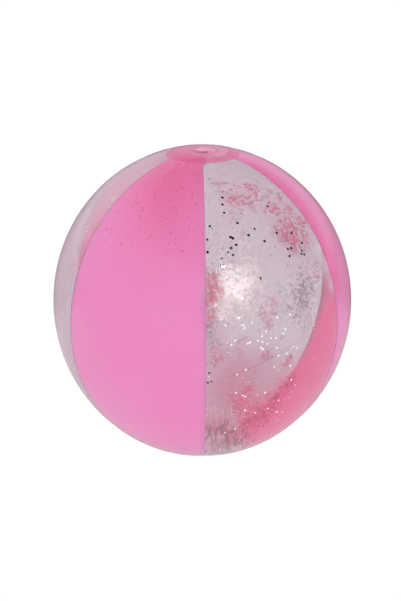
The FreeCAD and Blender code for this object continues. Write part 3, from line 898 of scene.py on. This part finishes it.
def build_flap():
    """Thin disc under the stem, with the lug that it hangs from."""
    radius = FLAP_HIGH.x
    lug_angle = math.degrees(math.asin(LUG_HALF / radius))
    outline = arc((0.0, 0.0), radius, -180.0 + lug_angle, 180.0 - lug_angle, 56)
    outline += [(FLAP_LOW.x, LUG_HALF), (FLAP_LOW.x, -LUG_HALF)]
    disc = plate("check_flap_disc", outline, FLAP_LOW.z, FLAP_HIGH.z, 0.15 * MM)
    dress(disc, VALVE, "valve_pvc", "flap", "check_flap")


def build_tether():
    """Strap that loops from the stem, out and over to the plug's head."""
    half = TETHER_THICKNESS / 2.0
    low, high = TETHER_LOW.z + half, TETHER_HIGH.z - half
    bend = (high - low) / 2.0
    centre = (TETHER_HIGH.x - half - bend, (low + high) / 2.0)
    path = [(TETHER_LOW.x + (centre[0] - TETHER_LOW.x) * step / 5.0, low) for step in range(5)]
    path += arc(centre, bend, -90.0, 90.0, 20)
    plug_end = PLUG_HIGH.x + TETHER_GAP
    path += [(centre[0] + (plug_end - centre[0]) * step / 3.0, high) for step in range(1, 4)]
    made = strap("plug_tether_strap", path, TETHER_HIGH.y - TETHER_LOW.y, TETHER_THICKNESS)
    made.data.materials.append(PLUG)
    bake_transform(made)
    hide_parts("plug_tether")


# ---- glitter ----

SILVER = flake_material("silver_glitter", (0.92, 0.92, 0.94), (0.98, 0.98, 0.99), 0.10)
# silver flakes painted black: a painted dark reflection
PAINTED_DARK_SILVER = flake_material("silver_glitter_painted_dark", (0.015, 0.015, 0.020), (0.030, 0.025, 0.035), 0.40, 0.0)
ROSE = flake_material("pink_glitter", (0.55, 0.10, 0.20), (0.85, 0.35, 0.48), 0.35)
# painted dark reflections of silver flakes, seen through the pink film
DEEP_PINK_PAINTED_DARK = flake_material("deep_pink_painted_dark_glitter", (0.50, 0.12, 0.27), (0.66, 0.20, 0.38), 0.50, 0.0)
GOLD = flake_material("gold_glitter", (0.90, 0.78, 0.60), (1.00, 0.95, 0.86), 0.30)

# Larger silver flakes on the front clear gore, as (longitude, latitude), given one by one.
FRONT_FLAKES = (
    (12, 57), (11, 54), (11, 50.5), (17, 46), (2.5, 45.5), (25, 43), (21, 41), (12, 41), (13, 40.5),
    (1, 40.5), (28, 38), (14, 38), (36, 40), (11.5, 37), (10, 35.5), (12, 34.5), (1, 36), (7, 33.5),
    (6.5, 31), (7.5, 31), (44.5, 38.5), (40.5, 33.5), (38.5, 33.5), (38, 31), (48, 34), (46, 31.5),
    (45, 30.5), (46.5, 30), (52, 24), (39, 50.5), (22, 25.5), (5.5, 13), (7, 11), (12, 13), (13.5, 10.5),
    (14, 9.5), (14, 19.5), (17, 11), (24.5, 17.5), (27, 11.5), (32.5, 11.5), (30, 7), (22, 7.5),
    (20.5, 6), (19, 4.5), (20.5, 4), (20, 2), (20.7, 1.3), (22.5, 3), (15, 4), (15.8, 4.3), (10.4, 5.5),
    (9, 4), (24, 4.8), (26, 4.5), (29, 5.5), (33.5, 0), (35, -1), (30.5, -2), (27, -2), (26.3, 1),
    (25.5, -6), (32.5, -7), (14.5, -5.5), (11.3, -7), (11.3, -14.5), (14, -16), (15, -16.5), (23, -16),
    (34, -13), (30, -21), (15.8, -23), (20.5, -25), (26, -24), (31, -27), (9, -35), (13, -33),
)
PAINTED_DARK_FLAKES = ((1.2, -6.0), (2.0, -9.3), (0.7, -9.8))  # three silver flakes by the seam, painted black: a painted dark reflection
GLITTER_SEED = 4
FRONT_WIDTHS = (2.3, 3.0)  # widths in millimetres
HIGH_WIDER = 0.6  # the front flakes above this latitude are wider by this
HIGH_FROM = 24.0
PAINTED_DARK_WIDTHS = (2.5, 3.0)
OTHER_FLAKES = 380  # silver flakes over the gores from the right to the back
OTHER_WIDTHS = (2.5, 3.1)
OTHER_LONGITUDES = (61.0, 272.0)
SMALL_FLAKES = 700  # smaller silver flakes over the whole ball
SMALL_WIDTHS = (0.8, 1.5)
GORE_PAINTED_DARK_SPECKS = 150  # specks painted dark pink that show faintly on the front pink gore's upper half: painted dark reflections of silver flakes
GORE_SPECK_WIDTHS = (1.5, 2.9)
GORE_SPECK_LONGITUDES = (-55.0, -4.0)
GORE_SPECK_TOP = 70.0  # latitudes that they lie between, crowded towards the top
GORE_SPECK_SPAN = 36.0
GORE_SPECK_CROWDING = 1.4
SPECKS = {"dust_pink": 7000, "dust_gold_and_glow": 3000}
SPECK_WIDTHS = (0.4, 1.1)
SPECK_SCATTER = 0.03  # share of the specks' places that ignores the clumps
SCATTER_SINES = (-0.97, 0.94)  # sines of the latitudes that loose glitter lies between
FLAKE_SIDES = 6
GORE_SPECK_SIDES = 5
SPECK_SIDES = 4
FLAKE_THICKNESS = 0.03  # half the thickness, as a share of the width
FLAKE_TILT = 0.018  # how far flakes and specks stand off the film, roughly in radians
DARK_TILT = 0.03
SPECK_TILT = 0.30
FLAKE_DEPTH = 0.5 * FILM  # silver flakes are held in the film, under its glossy face
SPECK_DEPTH = 2.0 * FILM + 0.35 * MM


def flakes(name, longitude, latitude, width, rng, tilt, sides, depth):
    """Thin closed flakes on the inside of the film: a rim of corners, with a point above and one below."""
    polar = np.radians(90.0 - latitude)
    turn = np.radians(longitude)
    centre = film_points(turn, polar, depth)
    normal = np.stack([np.sin(polar) * np.cos(turn - math.pi / 2.0) / EQUATOR,
                       np.sin(polar) * np.sin(turn - math.pi / 2.0) / EQUATOR,
                       np.cos(polar) / POLE], axis=-1)
    normal /= np.linalg.norm(normal, axis=1)[:, None]
    normal += rng.normal(0.0, tilt, normal.shape)
    normal /= np.linalg.norm(normal, axis=1)[:, None]
    first = np.cross(normal, rng.normal(size=normal.shape))
    first /= np.linalg.norm(first, axis=1)[:, None]
    second = np.cross(normal, first)
    corners = []
    for index in range(sides):
        angle = 2.0 * math.pi * index / sides
        corners.append(centre + (first * math.cos(angle) + second * math.sin(angle)) * width[:, None] / 2.0)
    thick = FLAKE_THICKNESS * width[:, None]
    points = np.stack(corners + [centre + normal * thick, centre - normal * thick], axis=1)
    faces = []
    for flake in range(len(longitude)):
        base = flake * (sides + 2)
        for index in range(sides):
            after = (index + 1) % sides
            faces.append((base + index, base + after, base + sides))
            faces.append((base + after, base + index, base + sides + 1))
    return new_object(name, points.reshape(-1, 3), faces, smooth=False)


def scatter_latitudes(rng, count):
    """Latitudes of an even scatter, short of the poles."""
    return np.degrees(np.arcsin(rng.uniform(*SCATTER_SINES, count)))


def on_dust(rng, dust):
    """Places that favour the clumps of one dust, with a thin scatter everywhere else."""
    count = SPECKS[dust]
    longitude = rng.uniform(0.0, 360.0, 12 * count)
    latitude = scatter_latitudes(rng, 12 * count)
    amount = clump_amount(dust_clumps(dust, list(FRONT_DUST).index(dust)), longitude, latitude)
    chance = SPECK_SCATTER + (1.0 - SPECK_SCATTER) * amount ** 2
    kept = np.nonzero(rng.random(12 * count) < chance)[0][:count]
    return longitude[kept], latitude[kept]


def add_flakes(rng, name, places, widths, tilt, sides, depth, material, slot, *nodes):
    """Flakes of random widths at (longitudes, latitudes), dressed."""
    width = rng.uniform(*widths, len(places[0])) * MM
    made = flakes(name, *places, width, rng, tilt, sides, depth)
    dress(made, material, slot, "ball", *nodes)


def build_silver(rng):
    """Larger silver flakes at the front and the back, small ones everywhere, and three painted black as a
    painted dark reflection.
    """
    front = np.array(FRONT_FLAKES)
    other_latitude = scatter_latitudes(rng, OTHER_FLAKES)
    other_longitude = rng.uniform(*OTHER_LONGITUDES, OTHER_FLAKES)
    small_longitude = rng.uniform(0.0, 360.0, SMALL_FLAKES)
    small_latitude = scatter_latitudes(rng, SMALL_FLAKES)
    longitude = np.concatenate([front[:, 0], other_longitude, small_longitude])
    latitude = np.concatenate([front[:, 1], other_latitude, small_latitude])
    wider = np.where(front[:, 1] > HIGH_FROM, HIGH_WIDER, 0.0)
    width = np.concatenate([rng.uniform(*FRONT_WIDTHS, len(front)) + wider,
                            rng.uniform(*OTHER_WIDTHS, OTHER_FLAKES),
                            rng.uniform(*SMALL_WIDTHS, SMALL_FLAKES)]) * MM
    made = flakes("silver_flakes", longitude, latitude, width, rng, FLAKE_TILT, FLAKE_SIDES, FLAKE_DEPTH)
    dress(made, SILVER, "silver_glitter", "ball", "glitter_silver")

    # three silver flakes painted black, a painted dark reflection
    add_flakes(rng, "painted_dark_silver_flakes", np.array(PAINTED_DARK_FLAKES).T, PAINTED_DARK_WIDTHS, DARK_TILT, FLAKE_SIDES,
               FLAKE_DEPTH, PAINTED_DARK_SILVER, "silver_glitter")


def build_glitter():
    """All loose glitter, from one run of random draws."""
    rng = np.random.default_rng(GLITTER_SEED)
    build_silver(rng)
    add_flakes(rng, "pink_specks", on_dust(rng, "dust_pink"), SPECK_WIDTHS, SPECK_TILT, SPECK_SIDES,
               SPECK_DEPTH, ROSE, "pink_glitter", "glitter_pink")
    # specks painted dark on the front pink gore's upper half: painted dark reflections of silver flakes
    longitude = rng.uniform(*GORE_SPECK_LONGITUDES, GORE_PAINTED_DARK_SPECKS)
    latitude = GORE_SPECK_TOP - GORE_SPECK_SPAN * rng.random(GORE_PAINTED_DARK_SPECKS) ** GORE_SPECK_CROWDING
    add_flakes(rng, "pink_gore_painted_dark_specks", (longitude, latitude), GORE_SPECK_WIDTHS, DARK_TILT,
               GORE_SPECK_SIDES, 0.0, DEEP_PINK_PAINTED_DARK, "pink_glitter")
    add_flakes(rng, "gold_specks", on_dust(rng, "dust_gold_and_glow"), SPECK_WIDTHS, SPECK_TILT, SPECK_SIDES,
               SPECK_DEPTH, GOLD, "gold_glitter", "glitter_gold")


# ---- studio ----

FLOOR_HALF = 30.0  # metres
FLOOR_DROP = 0.4 * MM
CLEAR_LAYERS = 32  # see-through layers that one ray may cross


def direction_to(longitude, elevation):
    """The unit vector towards a longitude and an elevation in degrees."""
    turn, lift = math.radians(longitude), math.radians(elevation)
    return Vector((math.sin(turn) * math.cos(lift), -math.cos(turn) * math.cos(lift), math.sin(lift)))


def build_world(scene):
    """A soft white dome that lights everything evenly. Mirrors see white walls under a dark ceiling instead,
    with one soft box at the upper right of the camera."""
    n = Nodes(bpy.data.worlds.new("studio"), "ShaderNodeOutputWorld")
    scene.world = n.holder
    direction = n.add("ShaderNodeTexCoord").outputs["Generated"]
    even = n.math("MULTIPLY", n.remap(n.part(direction, "Z"), 0.0, 1.0, DOME_SIDE, DOME_TOP),
                  n.remap(n.part(direction, "X"), 0.0, 1.0, 1.0, DOME_RIGHT))
    outer, inner = math.cos(math.radians(BOX_OUTER)), math.cos(math.radians(BOX_INNER))
    box = n.remap(n.dot(direction, direction_to(BOX_LONGITUDE, BOX_ELEVATION)), outer, inner,
                  0.0, BOX_BRIGHTNESS, "SMOOTHSTEP")
    ceiling = n.remap(n.dot(direction, (CEILING_SLOPE, 0.0, 1.0)), CEILING_FROM, CEILING_FULL,
                      1.0, CEILING, "SMOOTHSTEP")
    strength = n.mix_value(n.mirrored(), even, n.math("ADD", ceiling, box))
    n.finish(n.add("ShaderNodeBackground", {"Color": WHITE, "Strength": strength}))


def build_floor():
    """A plain pale floor whose mirror image in the film turns darker behind the ball."""
    corners = [(side * FLOOR_HALF, depth * FLOOR_HALF, -FLOOR_DROP)
               for side, depth in ((-1, -1), (1, -1), (1, 1), (-1, 1))]
    floor = new_object("studio_floor", corners, [(0, 1, 2, 3)])
    n = Nodes(bpy.data.materials.new("studio_floor"))
    behind = n.remap(n.part(n.position(), "Y"), FLOOR_BEHIND, 2.0 * FLOOR_BEHIND, FLOOR, FLOOR_MIRRORED)
    strength = n.mix_value(n.mirrored(), FLOOR, behind)
    floor.data.materials.append(n.finish(n.add("ShaderNodeEmission", {"Color": WHITE, "Strength": strength})))


def build_camera(scene):
    """The camera, at the photograph's angle."""
    lens = bpy.data.cameras.new("camera")
    lens.lens = CAMERA_LENS
    lens.shift_x, lens.shift_y = CAMERA_SHIFT
    camera = bpy.data.objects.new("camera", lens)
    scene.collection.objects.link(camera)
    away = direction_to(CAMERA_LONGITUDE, CAMERA_ELEVATION)
    camera.location = Vector((0.0, 0.0, CENTRE)) + away * CAMERA_DISTANCE
    camera.rotation_euler = (-away).to_track_quat("-Z", "Y").to_euler()
    scene.camera = camera


def build_studio():
    scene = bpy.context.scene
    scene.view_settings.view_transform = "Standard"
    scene.cycles.transparent_max_bounces = CLEAR_LAYERS
    build_floor()
    build_world(scene)
    build_camera(scene)


build_film()
build_flange_and_collar()
build_stem()
build_plug()
build_flap()
build_tether()
build_glitter()
build_studio()

bpy.context.view_layer.update()
